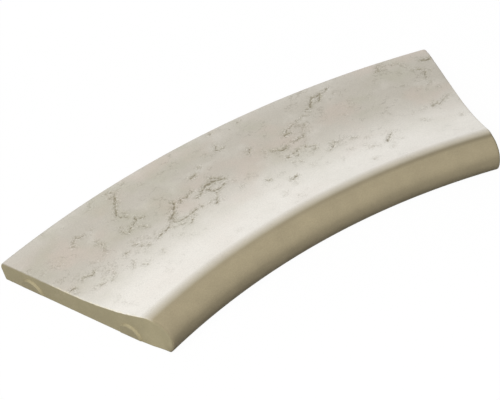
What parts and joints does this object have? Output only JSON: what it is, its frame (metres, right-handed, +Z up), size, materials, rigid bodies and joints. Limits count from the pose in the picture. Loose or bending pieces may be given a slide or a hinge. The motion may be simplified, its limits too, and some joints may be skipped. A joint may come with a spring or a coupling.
{
  "type": "curved coping stone",
  "caption": "Curved coping stone for the rim of a round pool: a ring segment with a rounded raised nose, a hollow ramp, a flat outer slab and half-moon spacing lugs on both ends.",
  "frame": {"origin": "middle of the bounding box's underside, on the level bed the stone rests on", "axes": "+Z up; +Y from the water side (the nose) to the outer edge; +X along the stone's curve at its middle"},
  "size_m": [0.7348, 0.374, 0.053],
  "materials": {
    "cast_stone": "matt wet-cast reconstituted stone, pale beige-grey, with fine cracks and pits"
  },
  "bodies": {
    "root": {"coping_stone": "cast_stone"}
  },
  "joints": []
}
